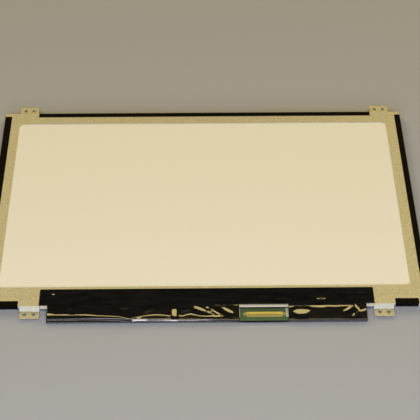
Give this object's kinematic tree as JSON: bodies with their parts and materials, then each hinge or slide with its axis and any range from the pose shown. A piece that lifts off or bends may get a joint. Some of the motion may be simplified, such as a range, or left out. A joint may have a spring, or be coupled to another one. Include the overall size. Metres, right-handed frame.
{
  "type": "laptop screen panel",
  "caption": "Slim flat display module lying face down: steel rear frame with a window on a white reflector, joggled screw ears, black edge tapes and a filmed board with its connector.",
  "frame": {"origin": "on the surface it lies on, under the middle of its outline", "axes": "+X along the long edge, +Y toward the panel's top edge, +Z out of its rear"},
  "size_m": [0.2682, 0.1756, 0.0035],
  "materials": {
    "steel": "galvanised sheet, fine crystalline speckle, satin",
    "white_mould": "white moulded polycarbonate",
    "reflector": "white foamed polyester sheet, satin",
    "acrylic": "clear acrylic with a printed dot back",
    "optical_sheet": "clear polyester film",
    "polariser": "dark anti-glare polariser film",
    "cell_glass": "clear thin display glass",
    "black_tape": "black polyester tape",
    "black_film": "black glossy polyester film, loosely wrinkled",
    "polyimide": "amber polyimide flex",
    "lamp": "white moulding with yellow phosphor",
    "board": "green solder mask on glass-fibre laminate",
    "chip": "black moulded epoxy",
    "chip_ceramic": "tan ceramic",
    "ferrite": "dark ferrite",
    "gilt_metal": "gold-plated copper alloy",
    "connector_plastic": "tan moulded liquid-crystal polymer"
  },
  "bodies": {
    "root": {"rear_frame": "steel", "mould_frame": "white_mould", "front_polariser": "polariser", "colour_filter_glass": "cell_glass", "tft_glass": "cell_glass", "rear_polariser": "polariser", "rim_tape": "black_tape", "upper_prism_sheet": "optical_sheet", "lower_prism_sheet": "optical_sheet", "diffuser_sheet": "optical_sheet", "light_guide": "acrylic", "reflector_sheet": "reflector", "lamp_flex": "polyimide", "lamps": "lamp", "control_board": "board", "connector_housing": "connector_plastic", "connector_shell": "gilt_metal", "connector_contacts": "gilt_metal", "board_film": "black_film", "tape_top": "black_tape", "front_tape": "black_tape", "timing_chip": "chip", "power_chip": "chip", "memory_chip": "chip", "fuse": "chip_ceramic", "lamp_socket": "connector_plastic", "inductor_1": "ferrite", "inductor_2": "ferrite", "chip_capacitors": "chip_ceramic", "chip_resistors": "ferrite", "tape_left": "black_tape", "tape_right": "black_tape", "tape_bottom_left": "black_tape", "tape_bottom_right": "black_tape", "driver_chip_1": "chip", "panel_flex_1": "polyimide", "driver_chip_2": "chip", "panel_flex_2": "polyimide", "driver_chip_3": "chip", "panel_flex_3": "polyimide"}
  },
  "joints": []
}
